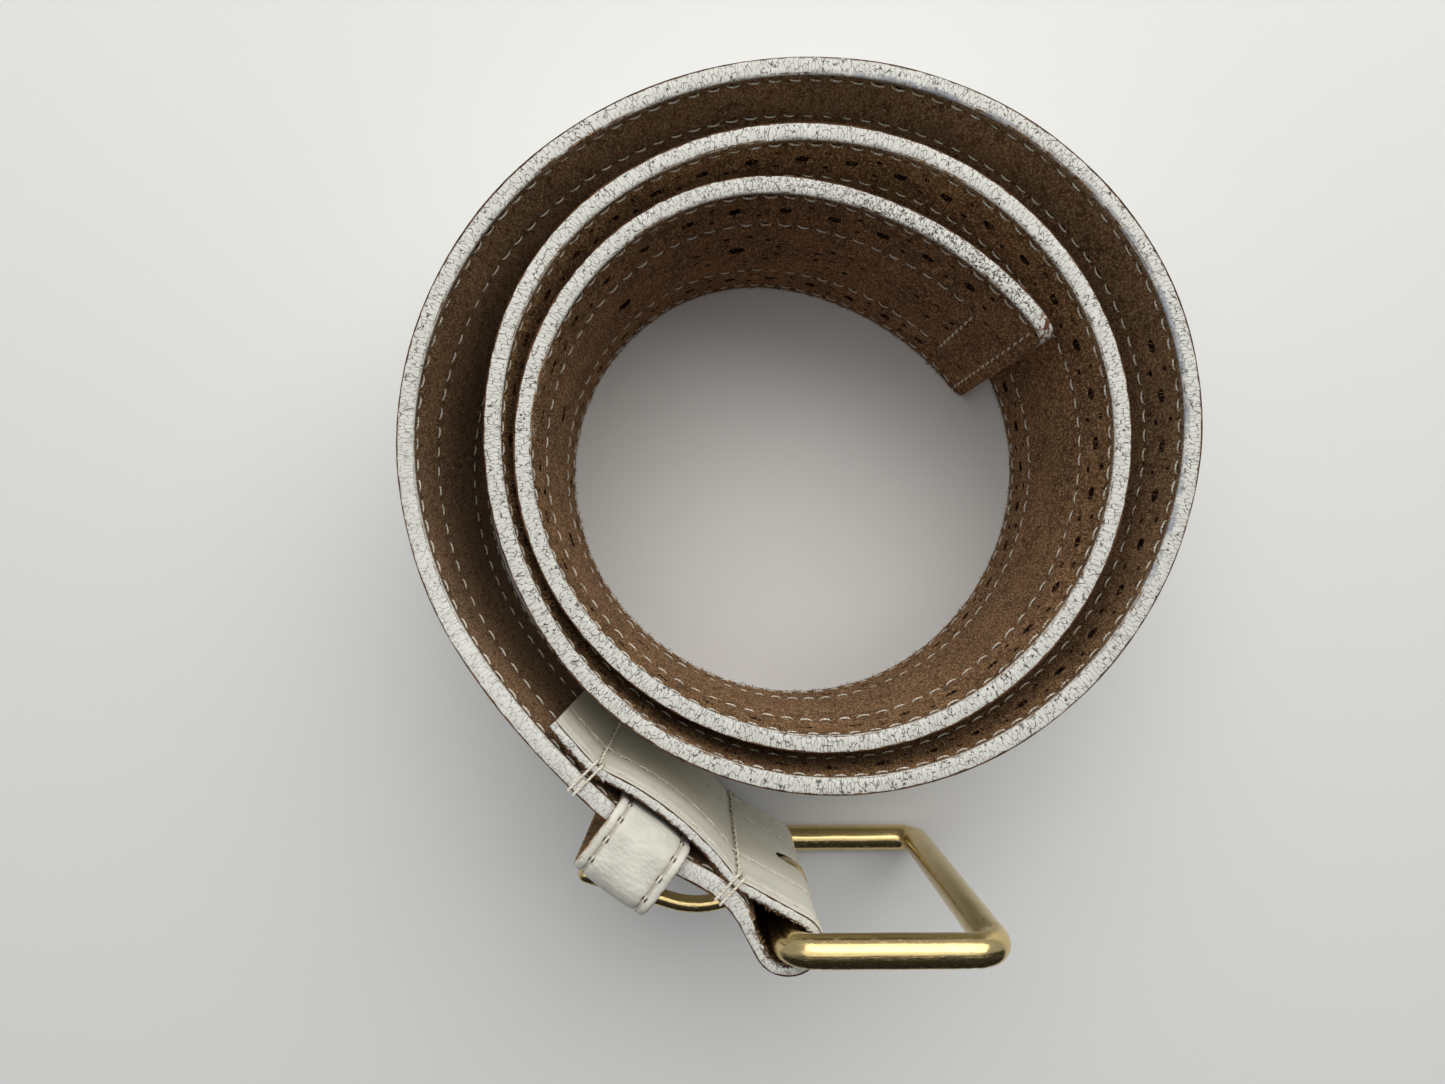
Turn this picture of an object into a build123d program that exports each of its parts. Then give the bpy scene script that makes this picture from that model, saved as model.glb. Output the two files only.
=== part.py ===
"""A wide stitched leather waist belt, rolled up and standing on its long edge.

Millimetres, +Z up. The origin is the centre of the belt's footprint, on the surface that it
stands on. The strap's face looks outward from the roll and its suede lining looks inward. Seen
from above, the strap starts at its tip in the middle of the roll and winds counter-clockwise.
"""

from build123d import *
from math import cos, pi, radians, sin
import os

# ---- strap -------------------------------------------------------------------------------
WIDTH = 60.0                    # strap width, which is its height as it stands
FACE = 1.7                      # face leather
LINING = 1.0                    # suede lining, glued behind the face
HALF = (FACE + LINING) / 2      # from the strap's middle line to either surface
JOIN = HALF - FACE              # where face and lining meet, measured outward
TIP_CORNER = 4.0                # rounding of the tip's two corners

# ---- plan of the strap: tangent runs along its middle line, from the tip to the tail's end ----
TIP_START = (40.02, 27.06)
TIP_HEADING = 126.0             # degrees from +X
COIL_TURN = 45.0                # every run of the roll turns by this much
COIL_RADII = (59, 38, 42, 45, 50, 45, 50, 47, 51, 53, 44, 58, 53, 55, 60, 53, 61, 68, 59, 55)
# Each later run is (radius, turn), or (length, 0) where it is straight.
BUCKLE_RUNS = ((155, 14), (50, 14), (16, -36))        # past the keeper to the end of the lining
FOLD_RUNS = ((5, 0), (4.3, 110), (3.3, 103.2))        # round the buckle's bar
TAIL_RUNS = ((10.4, 0), (9.5, -23.2), (50, 26), (15, -22), (6.5, 0))
FLAT_RUNS = 19                  # runs that stand flat on the surface

# ---- the strap's buckle end rises, to sit between the buckle's two side wires ----
RISE = 5.8
RISE_START_Y = 1.0
RISE_END_Y = -41.0

# ---- buckle ------------------------------------------------------------------------------
WIRE = 5.2                      # brass wire of the frame
WIRE_CLEAR = 0.6                # between a side wire and the strap's edge
BAR_GAP = 31.1                  # between the middles of the two upright bars
FRAME_CORNER = 4.0              # middle line of the wire
BAR_X, BAR_Y = -2.6, -66.5      # the upright bar that the strap is folded round
BAR_LOW = WIRE / 2
BAR_HIGH = WIRE + WIRE_CLEAR + WIDTH + WIRE_CLEAR + WIRE / 2
MID_Z = (BAR_LOW + BAR_HIGH) / 2

PRONG_WIRE = 3.0
PRONG_BORE = WIRE / 2 + 0.1     # running fit on the bar
PRONG_EYE = 4.4                 # outer radius of the eye
EYE_HEIGHT = 4.0
PRONG_KNEE = (-14.4, -3.9)      # from the bar
PRONG_END = (-33.7, 2.1)
PRONG_BEND = 15.0
SLOT_HEIGHT = 6.4               # of the slot through the fold that lets the prong out
SLOT_FRONT = (-10.0, -76.0, 5.0, -64.2)      # low x, low y, high x, high y
SLOT_BACK = (-4.0, -65.0, 5.0, -60.8)

# ---- keeper: a loop of lined leather that slides on the strap ----
KEEPER_AT = 861.3               # along the strap's middle line, from the tip
KEEPER_SKEW = 1.0               # degrees from the strap's heading there
KEEPER_WIDTH = 13.0
KEEPER_FACE = 0.7
KEEPER_LINING = 0.4
KEEPER_BACK = -3.51             # the loop's back, measured outward from the strap's middle line
KEEPER_DEPTH = 12.6
KEEPER_HEIGHT = 66.4
KEEPER_CORNER = 4.2
SEAM_LENGTH = 22.0              # of the stitched seam that closes the loop, hidden at its back

# ---- stitching ---------------------------------------------------------------------------
THREAD = 0.6                    # width of a line of thread
THREAD_PROUD = 0.15
EDGE_ROW = 2.5                  # outer rows, from the strap's edge
INNER_ROW = 15.5                # inner rows, from the strap's edge
TIP_CROSS = 11.0                # cross row of the tip, from the strap's end
# The rows that tie the folded tail to the strap: distance from the tip, and the loop's back
# measured outward from the strap's middle line.
TIE_ROWS = {"tail_stitch_far": (848.3, -4.45), "tail_stitch_near": (876.0, -3.55)}
WRAP = 0.4                      # thickness of the thread where it wraps the strap's edges
KEEPER_ROW = 1.6                # from the keeper's edges

# ---- prong holes -------------------------------------------------------------------------
HOLE = 3.2
HOLE_FIRST = 57.5               # from the tip
HOLE_PITCH = 24.6
HOLE_COUNT = 5

TALL = 200.0                    # more than the belt's height and depth


class Run:
    """One tangent run of the strap's middle line."""

    def __init__(self, x, y, heading, size, turn):
        self.x, self.y, self.heading = x, y, heading
        self.size, self.turn = size, radians(turn)
        self.length = size * abs(self.turn) if turn else size

    def pose(self, along, outward=0.0):
        """Point and heading at a distance along the run, moved outward from the middle line."""
        if self.turn:
            side = 1 if self.turn > 0 else -1
            heading = self.heading + side * along / self.size
            x = self.x + side * self.size * (sin(heading) - sin(self.heading))
            y = self.y - side * self.size * (cos(heading) - cos(self.heading))
        else:
            heading = self.heading
            x = self.x + along * cos(heading)
            y = self.y + along * sin(heading)
        return (x + outward * sin(heading), y - outward * cos(heading)), heading

    def edge(self, outward):
        start, middle, end = (self.pose(self.length * part, outward)[0] for part in (0, 0.5, 1))
        return ThreePointArc(start, middle, end) if self.turn else Line(start, end)


def lay_out(start, heading, sizes):
    runs = []
    (x, y), heading = start, radians(heading)
    for size, turn in sizes:
        runs.append(Run(x, y, heading, size, turn))
        (x, y), heading = runs[-1].pose(runs[-1].length)
    return runs


COIL = lay_out(TIP_START, TIP_HEADING, [(radius, COIL_TURN) for radius in COIL_RADII])
AFTER_COIL = COIL[-1].pose(COIL[-1].length)
END = lay_out(AFTER_COIL[0], AFTER_COIL[1] * 180 / pi, BUCKLE_RUNS + FOLD_RUNS + TAIL_RUNS)
STRAP = COIL + END
LINED = len(COIL) + len(BUCKLE_RUNS)         # runs that have the lining


def station(along):
    """Point and heading on the middle line, at a distance from the tip."""
    for run in STRAP:
        if along <= run.length:
            return run.pose(along)
        along -= run.length
    raise ValueError("beyond the tail's end")


def shortened(runs, lead):
    """The same runs, with the first one starting later."""
    first = runs[0]
    (x, y), heading = first.pose(lead)
    turn = (first.length - lead) / first.size * 180 / pi
    return [Run(x, y, heading, first.size, turn)] + runs[1:]


def band(runs, inner, outer):
    """Plan of a strip between two distances outward from the middle line."""
    near = [run.edge(inner) for run in runs]
    far = [run.edge(outer) for run in runs]
    ends = [Line(near[0] @ 0, far[0] @ 0), Line(near[-1] @ 1, far[-1] @ 1)]
    return make_face(Wire(near + far + ends))


def rising_slab(low, high):
    """A wide slab that follows the rise of the strap's buckle end."""
    drop_y = RISE_START_Y - RISE_END_Y
    middle_y = (RISE_START_Y + RISE_END_Y) / 2

    def profile(z):
        quarter = drop_y / 4
        bend = RISE / 8
        return [
            Line((TALL, z), (RISE_START_Y, z)),
            ThreePointArc((RISE_START_Y, z), (middle_y + quarter, z + bend), (middle_y, z + RISE / 2)),
            ThreePointArc((middle_y, z + RISE / 2), (middle_y - quarter, z + RISE - bend),
                          (RISE_END_Y, z + RISE)),
            Line((RISE_END_Y, z + RISE), (-TALL, z + RISE)),
        ]

    bottom, top = profile(low), profile(high)
    ends = [Line((TALL, low), (TALL, high)), Line((-TALL, low + RISE), (-TALL, high + RISE))]
    side = Plane.YZ * make_face(Wire(bottom + top + ends))
    return extrude(side, TALL, both=True)


def strip(runs, inner, outer, low, high):
    """A strip of the strap between two heights: flat in the roll, rising at the buckle end."""
    flat = [run for run in runs if run not in STRAP[FLAT_RUNS:]]
    rising = [run for run in runs if run in STRAP[FLAT_RUNS:]]
    solid = Pos(0, 0, low) * extrude(band(flat, inner, outer), high - low)
    if rising:
        solid += extrude(band(rising, inner, outer), TALL) & rising_slab(low, high)
    return solid


def at_station(along, outward=0.0, z=0.0, skew=0.0):
    """Place whose X runs along the strap and whose -Y points outward."""
    (x, y), heading = station(along)
    place = Location((x, y, z), (0, 0, heading * 180 / pi + skew))
    return place * Pos(0, -outward, 0)


def rounded_tip(solid, low, high):
    """Round the two corners of the strap's end."""
    (x, y), _ = station(0)
    corners = [edge for edge in solid.edges()
               if (edge.center() - Vector(x, y, edge.center().Z)).length < HALF + 0.1
               and edge.length < FACE + 0.1
               and (abs(edge.center().Z - low) < 0.01 or abs(edge.center().Z - high) < 0.01)]
    return fillet(corners, TIP_CORNER)


def prong_holes():
    holes = []
    for index in range(HOLE_COUNT):
        place = at_station(HOLE_FIRST + index * HOLE_PITCH, z=WIDTH / 2)
        holes.append(place * Rot(90, 0, 0) * Cylinder(HOLE / 2, 4 * HALF))
    return holes


def prong_slot():
    boxes = []
    for low_x, low_y, high_x, high_y in (SLOT_FRONT, SLOT_BACK):
        middle = Pos((low_x + high_x) / 2, (low_y + high_y) / 2, MID_Z)
        boxes.append(middle * Box(high_x - low_x, high_y - low_y, SLOT_HEIGHT))
    return boxes


def face_leather():
    solid = strip(STRAP, JOIN, HALF, 0, WIDTH)
    solid = rounded_tip(solid, 0, WIDTH)
    return solid - prong_holes() - prong_slot()


def lining_suede():
    solid = strip(STRAP[:LINED], -HALF, JOIN, 0, WIDTH)
    solid = rounded_tip(solid, 0, WIDTH)
    return solid - prong_holes()


def stitch_row(height, start):
    """A line of thread on the strap's face, and one on its lining."""
    low, high = height - THREAD / 2, height + THREAD / 2
    on_face = strip(shortened(STRAP, start), HALF, HALF + THREAD_PROUD, low, high)
    on_lining = strip(shortened(STRAP[:LINED], start), -HALF - THREAD_PROUD, -HALF, low, high)
    return [on_face, on_lining]


def stitch_across(along, low, high):
    """A line of thread up the strap, on its face and on its lining."""
    lines = []
    for outward in (HALF + THREAD_PROUD / 2, -HALF - THREAD_PROUD / 2):
        line = Box(THREAD, THREAD_PROUD, high - low)
        lines.append(at_station(along, outward, (low + high) / 2) * line)
    return lines


def tail_stitch(along, back):
    """Thread that ties the folded tail to the strap: one loop round both."""
    front = HALF + THREAD_PROUD
    depth = front - back
    outside = Box(THREAD, depth + 2 * WRAP, WIDTH + 2 * WRAP)
    inside = Box(2 * THREAD, depth, WIDTH)
    return at_station(along, (front + back) / 2, RISE + WIDTH / 2) * (outside - inside)


def buckle_frame():
    tall = BAR_HIGH - BAR_LOW
    path = RectangleRounded(BAR_GAP, tall, FRAME_CORNER).wire()
    start = path @ 0
    section = Plane(start, x_dir=(0, 0, 1), z_dir=path % 0) * Circle(WIRE / 2)
    ring = sweep(section, path=path)
    return Pos(BAR_X + BAR_GAP / 2, BAR_Y, MID_Z) * Rot(90, 0, 0) * ring


def prong():
    knee, end = Vector(*PRONG_KNEE), Vector(*PRONG_END)
    start = knee.normalized() * ((PRONG_BORE + PRONG_EYE) / 2)
    line = FilletPolyline(start, knee, end, radius=PRONG_BEND)
    shank = sweep(Plane(line @ 0, z_dir=line % 0) * Circle(PRONG_WIRE / 2), path=line)
    solid = Cylinder(PRONG_EYE, EYE_HEIGHT) + shank + Pos(*end) * Sphere(PRONG_WIRE / 2)
    solid -= Cylinder(PRONG_BORE, 2 * EYE_HEIGHT)
    return Pos(BAR_X, BAR_Y, MID_Z) * solid


def at_keeper(outward):
    return at_station(KEEPER_AT, outward, MID_Z, KEEPER_SKEW)


def keeper_ring(inset, outset, width, shift=0.0):
    """One layer of the keeper's loop, between two depths below its outer surface."""
    place = at_keeper(KEEPER_BACK + KEEPER_DEPTH / 2)
    section = RectangleRounded(KEEPER_DEPTH - 2 * outset, KEEPER_HEIGHT - 2 * outset,
                               KEEPER_CORNER - outset)
    section -= RectangleRounded(KEEPER_DEPTH - 2 * inset, KEEPER_HEIGHT - 2 * inset,
                                KEEPER_CORNER - inset)
    across = Plane.YZ * section
    return place * Pos(shift, 0, 0) * extrude(across, width / 2, both=True)


def keeper_row(side):
    """A line of thread round the keeper, near one of its edges."""
    shift = side * (KEEPER_WIDTH / 2 - KEEPER_ROW)
    return keeper_ring(0, -THREAD_PROUD, THREAD, shift)


def keeper_seam():
    """Two lines of thread at the keeper's back, where the ends of its strip meet."""
    lines = []
    for shift in (-2.0, 2.0):
        place = at_keeper(KEEPER_BACK - THREAD_PROUD / 2)
        lines.append(place * Pos(shift, 0, 0) * Box(THREAD, THREAD_PROUD, SEAM_LENGTH))
    return lines


def write(node, shape):
    solids = shape if isinstance(shape, list) else [shape]
    solids = [solid for piece in solids for solid in piece.solids()]
    whole = solids[0] if len(solids) == 1 else Compound(children=solids)
    export_step(whole, f"parts/{node}.step")


def main():
    os.makedirs("parts", exist_ok=True)
    keeper_inside = KEEPER_FACE + KEEPER_LINING
    write("face_leather", face_leather())
    write("lining_suede", lining_suede())
    write("stitch_row_bottom", stitch_row(EDGE_ROW, EDGE_ROW))
    write("stitch_row_low", stitch_row(INNER_ROW, TIP_CROSS))
    write("stitch_row_high", stitch_row(WIDTH - INNER_ROW, TIP_CROSS))
    write("stitch_row_top", stitch_row(WIDTH - EDGE_ROW, EDGE_ROW))
    clear = THREAD / 2
    write("tip_end_stitch", stitch_across(EDGE_ROW - clear, EDGE_ROW + clear, WIDTH - EDGE_ROW - clear))
    write("tip_cross_stitch",
          stitch_across(TIP_CROSS - clear, INNER_ROW + clear, WIDTH - INNER_ROW - clear))
    for node, (along, back) in TIE_ROWS.items():
        write(node, tail_stitch(along, back))
    write("buckle_frame", buckle_frame())
    write("prong", prong())
    write("keeper_leather", keeper_ring(KEEPER_FACE, 0, KEEPER_WIDTH))
    write("keeper_lining", keeper_ring(keeper_inside, KEEPER_FACE, KEEPER_WIDTH))
    write("keeper_row_left", keeper_row(-1))
    write("keeper_row_right", keeper_row(1))
    write("keeper_seam", keeper_seam())


main()
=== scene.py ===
"""Looks of the rolled leather belt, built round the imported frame.

Lengths are millimetres until a mesh is made. Points of the strap are given as (along, height,
outward): along its middle line from the tip, up its width, and out from its middle line towards
the white face.
"""

import math
from functools import reduce

import bmesh
import bpy
import numpy as np
from mathutils import Matrix, Vector


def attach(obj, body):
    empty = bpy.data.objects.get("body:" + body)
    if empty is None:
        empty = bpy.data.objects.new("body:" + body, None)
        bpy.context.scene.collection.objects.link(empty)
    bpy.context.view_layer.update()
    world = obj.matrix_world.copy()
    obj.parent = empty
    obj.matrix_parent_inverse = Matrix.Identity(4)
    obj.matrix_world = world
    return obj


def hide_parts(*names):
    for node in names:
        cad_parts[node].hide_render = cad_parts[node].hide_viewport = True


MM = 0.001
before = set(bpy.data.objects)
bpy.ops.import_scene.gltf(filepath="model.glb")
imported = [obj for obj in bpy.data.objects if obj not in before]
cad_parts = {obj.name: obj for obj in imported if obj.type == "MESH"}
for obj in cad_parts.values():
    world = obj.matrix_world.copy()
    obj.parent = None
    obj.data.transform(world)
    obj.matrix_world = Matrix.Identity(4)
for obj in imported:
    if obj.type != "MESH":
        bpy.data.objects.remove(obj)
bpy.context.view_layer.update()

# ---- strap, as in the CAD part ------------------------------------------------------------
WIDTH = 60.0
HALF = 1.35                     # from the strap's middle line to either surface
JOIN = -0.35                    # where face and lining meet, measured outward
TIP_CORNER = 4.0                # rounding of the tip's two corners
TIP_X, TIP_Y, TIP_HEADING = 40.02, 27.06, 126.0
COIL_TURN = 45                  # every run of the roll turns by this much
COIL_RADII = (59, 38, 42, 45, 50, 45, 50, 47, 51, 53, 44, 58, 53, 55, 60, 53, 61, 68, 59, 55)
# Each later run is (radius, turn), or (length, 0) where it is straight.
BUCKLE_RUNS = ((155, 14), (50, 14), (16, -36))
FOLD_RUNS = ((5, 0), (4.3, 110), (3.3, 103.2))
TAIL_RUNS = ((10.4, 0), (9.5, -23.2), (50, 26), (15, -22), (6.5, 0))
FLAT_RUNS = 19                  # runs that stand flat on the surface
RISE = 5.8                      # of the buckle end, between RISE_Y and RISE_LENGTH further forward
RISE_Y, RISE_LENGTH = 1.0, 42.0

# ---- stitches and punched holes -----------------------------------------------------------
STITCH = 3.4                    # pitch
EDGE_ROW, INNER_ROW = 2.5, 15.5         # rows along the strap, from its edge
ROWS = (EDGE_ROW, INNER_ROW, WIDTH - INNER_ROW, WIDTH - EDGE_ROW)
TIP_END, TIP_CROSS = 2.5, 11.0          # rows across the tip, from the strap's end
TIE_FAR, TIE_NEAR = 848.3, 876.0        # rows that tie the tail to the strap
FAR_BACK, NEAR_BACK = -4.45, -3.55      # the tail's face there, outward from the middle line
TAIL_NEAR, TAIL_FAR = 913.1, 940.6      # the same rows where they come out on the tail
BAND, BAND_PERIOD = 8.6, 8.64           # punched band: from the edge, and along
BAND_FROM, BAND_TO = 10.8, 608.0
COLUMN = BAND_PERIOD / 8                # grid step along the punched part
BAND_HOLE, BAND_DOT, BAND_SPREAD = 1.2, 0.58, 2.7       # radii, and how far the dots lie off it
HOLE_FIRST, HOLE_PITCH, HOLE_COUNT, HOLE_RADIUS = 57.5, 24.6, 5, 1.6
# Rings of small holes: along, height, reach along, reach up and number of holes.
ROSETTES = ((17.0, 29.8, 4.8, 4.4, 6), (37.3, 29.8, 4.9, 5.4, 8), (HOLE_FIRST, 30.0, 8.3, 8.0, 12))
SLOT_AT, SLOT_RADIUS, SLOT_HALF = 893.0, 2.5, 8.7       # slot that lets the prong out of the fold
FOLD_END = 905.3                # where the fold leaves the bar
FINE_FROM, FINE_TO = 876, 912   # stretch with the closest grid

# ---- buckle and keeper, as in the CAD part ------------------------------------------------
BAR_X, BAR_Y, MID_Z = -2.6, -66.5, 35.8
WIRE, BAR_GAP, BAR_TALL, FRAME_CORNER = 5.2, 31.1, 66.4, 4.0
PRONG_WIRE, PRONG_BEND = 3.0, 15.0
PRONG_KNEE, PRONG_END = (-14.4, -3.9), (-33.7, 2.1)     # from the bar
EYE_INNER, EYE_OUTER, EYE_HEIGHT = 3.55, 4.75, 4.0
EYE_HANG = 0.8                  # how far the loose eye hangs off the bar's middle
KEEPER_AT, KEEPER_SKEW = 861.3, 1.0
KEEPER_WIDTH, KEEPER_DEPTH, KEEPER_HEIGHT = 13.0, 12.6, 66.4
KEEPER_BACK, KEEPER_CORNER = -3.51, 4.2
KEEPER_LEATHER, KEEPER_INSIDE = 0.7, 1.1
KEEPER_ROW, KEEPER_STITCH = 4.9, 3.7    # rows from the keeper's middle, and their pitch

rng = np.random.default_rng(11)


def lay_out():
    """Start, place, heading and curvature of every tangent run, and the strap's whole length."""
    sizes = [(radius, COIL_TURN) for radius in COIL_RADII] + list(BUCKLE_RUNS + FOLD_RUNS + TAIL_RUNS)
    x, y, heading, along, rows = TIP_X, TIP_Y, math.radians(TIP_HEADING), 0.0, []
    for size, turn in sizes:
        bend = math.copysign(1 / size, turn) if turn else 0.0
        length = size * abs(math.radians(turn)) if turn else size
        rows.append((along, x, y, heading, bend))
        after = heading + bend * length
        if bend:
            x += (math.sin(after) - math.sin(heading)) / bend
            y -= (math.cos(after) - math.cos(heading)) / bend
        else:
            x += length * math.cos(heading)
            y += length * math.sin(heading)
        heading, along = after, along + length
    return np.array(rows), along


RUNS, LENGTH = lay_out()
END = round(LENGTH, 2)
RISE_FROM = round(RUNS[FLAT_RUNS, 0], 2)
LINED = round(RUNS[len(COIL_RADII) + len(BUCKLE_RUNS), 0], 2)        # where the lining ends


def plan(along, outward=0.0):
    """Plan position and heading at a distance along the strap."""
    along = np.asarray(along, float)
    index = np.clip(np.searchsorted(RUNS[:, 0], along, side="right") - 1, 0, len(RUNS) - 1)
    start, x, y, heading, bend = np.moveaxis(RUNS[index], -1, 0)
    run = along - start
    now = heading + bend * run
    safe = np.where(bend == 0, 1.0, bend)
    px = np.where(bend == 0, x + run * np.cos(heading), x + (np.sin(now) - np.sin(heading)) / safe)
    py = np.where(bend == 0, y + run * np.sin(heading), y - (np.cos(now) - np.cos(heading)) / safe)
    return px + outward * np.sin(now), py - outward * np.cos(now), now


def strap_point(along, height, outward):
    """A point of the strap in the frame. Its buckle end rises between the two side wires."""
    x, y, _ = plan(along, outward)
    share = np.clip((RISE_Y - y) / RISE_LENGTH, 0, 1)
    lift = RISE * np.where(share < 0.5, 2 * share ** 2, 1 - 2 * (1 - share) ** 2)
    return np.stack([x, y, height + np.where(along >= RISE_FROM, lift, 0.0)], -1)


def tip_height(along, height):
    """Height on the strap, drawn in where its end has rounded corners."""
    cut = np.clip(TIP_CORNER - along, 0, TIP_CORNER)
    reach = WIDTH / 2 - TIP_CORNER + np.sqrt(TIP_CORNER ** 2 - cut ** 2)
    return WIDTH / 2 + (height - WIDTH / 2) * reach / (WIDTH / 2)


def ripple(a, b, size, seed):
    """Smooth irregular relief, about -1 to 1."""
    random = np.random.default_rng(seed)
    total = 0.0
    for _ in range(8):
        turn, phase = random.uniform(0, 2 * math.pi), random.uniform(0, 6.3)
        scale = random.uniform(0.6, 1.6)
        total = total + np.sin((a * math.cos(turn) + b * math.sin(turn)) * 6.283 * scale / size + phase)
    return total / 4


def stacked(*columns):
    """Columns of numbers as points, spread over each other where they differ in shape."""
    return np.stack(np.broadcast_arrays(*columns), -1)


def beside(station, across, outward, height):
    """A point off a station (x, y, heading), on straight axes along and square to the strap there."""
    x, y, heading = station
    return stacked(x + across * math.cos(heading) + outward * math.sin(heading),
                   y + across * math.sin(heading) - outward * math.cos(heading), height)


def near(value, centre, width):
    """1 at the centre, and falling smoothly to 0 beside it."""
    return np.exp(-((value - centre) / width) ** 2)


# ---- making pieces ------------------------------------------------------------------------
def add_object(name, data):
    made = bpy.data.objects.new(name, data)
    bpy.context.scene.collection.objects.link(made)
    return made


def make_piece(name, shape, body, materials, replaces=(), kinds=None, crease=40.0):
    """A mesh that rides on a CAD body. shape is its points, faces and layout: the layout is kept
    on each point for the materials to read."""
    points, faces, lay = shape
    mesh = bpy.data.meshes.new(name)
    mesh.from_pydata((np.asarray(points) * MM).tolist(), [], faces)
    kept = mesh.attributes.new("lay", "FLOAT_VECTOR", "POINT")
    kept.data.foreach_set("vector", np.asarray(lay, np.float32).ravel())
    for material in materials:
        mesh.materials.append(material)
    if kinds is not None:
        mesh.polygons.foreach_set("material_index", np.asarray(kinds, np.int32))
    work = bmesh.new()
    work.from_mesh(mesh)
    bmesh.ops.delete(work, geom=[v for v in work.verts if not v.link_faces], context="VERTS")
    bmesh.ops.recalc_face_normals(work, faces=work.faces)
    work.to_mesh(mesh)
    work.free()
    mesh.shade_smooth()
    mesh.set_sharp_from_angle(angle=math.radians(crease))
    piece = add_object(name, mesh)
    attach(piece, body)
    if replaces:
        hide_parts(*replaces)
    return piece


def loft(shape, closed_path=False):
    """Faces that join rows of section points. shape is (rows, section points); sections close."""
    rows, around = shape
    index = np.arange(rows * around).reshape(rows, around)
    after = np.roll(index, -1, axis=0) if closed_path else index[1:]
    first = index if closed_path else index[:-1]
    quads = np.stack([first, after, np.roll(after, -1, axis=1), np.roll(first, -1, axis=1)], -1)
    faces = quads.reshape(-1, 4).tolist()
    if not closed_path:
        faces += [index[0].tolist(), index[-1][::-1].tolist()]
    return faces


def lofted(points, lay, closed_path=False):
    """Points, faces and layout of a loft through rows of section points."""
    return points.reshape(-1, 3), loft(points.shape[:2], closed_path), lay.reshape(-1, 3)


def many_lofts(shape):
    """Faces of many short lofts. shape is (lofts, rows, section points)."""
    index = np.arange(math.prod(shape)).reshape(shape)
    first, after = index[:, :-1], index[:, 1:]
    quads = np.stack([first, after, np.roll(after, -1, axis=2), np.roll(first, -1, axis=2)], -1)
    return quads.reshape(-1, 4).tolist() + index[:, 0].tolist() + index[:, -1, ::-1].tolist()


def join(*parts):
    """Several (points, faces, lay) as one."""
    points, faces, lay, base = [], [], [], 0
    for some, polygons, layout in parts:
        points.append(some.reshape(-1, 3))
        lay.append(layout.reshape(-1, 3))
        faces += [[i + base for i in polygon] for polygon in polygons]
        base += len(points[-1])
    return np.concatenate(points), faces, np.concatenate(lay)


def tube(path, radius, sides=10, up=(0, 0, 1)):
    """A round bar along an open path of points, with its own (along, around, radius) layout."""
    path = np.asarray(path, float)
    radius = np.broadcast_to(radius, len(path))
    tangent = np.gradient(path, axis=0)
    tangent /= np.linalg.norm(tangent, axis=1)[:, None]
    side = np.cross(tangent, np.broadcast_to(up, tangent.shape))
    side /= np.linalg.norm(side, axis=1)[:, None]
    other = np.cross(side, tangent)
    turn = np.arange(sides) * 2 * math.pi / sides
    ring = side[:, None] * np.cos(turn)[None, :, None] + other[:, None] * np.sin(turn)[None, :, None]
    points = path[:, None] + ring * radius[:, None, None]
    along = np.concatenate([[0], np.cumsum(np.linalg.norm(np.diff(path, axis=0), axis=1))])
    lay = stacked(along[:, None], turn[None] * radius.max(), radius[:, None])
    return lofted(points, lay)


# ---- material helper ----------------------------------------------------------------------
def srgb(red, green, blue):
    """Linear colour of an 8-bit sRGB one."""
    return tuple((c / 255 / 12.92 if c <= 10 else ((c / 255 + 0.055) / 1.055) ** 2.4)
                 for c in (red, green, blue)) + (1.0,)


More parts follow.
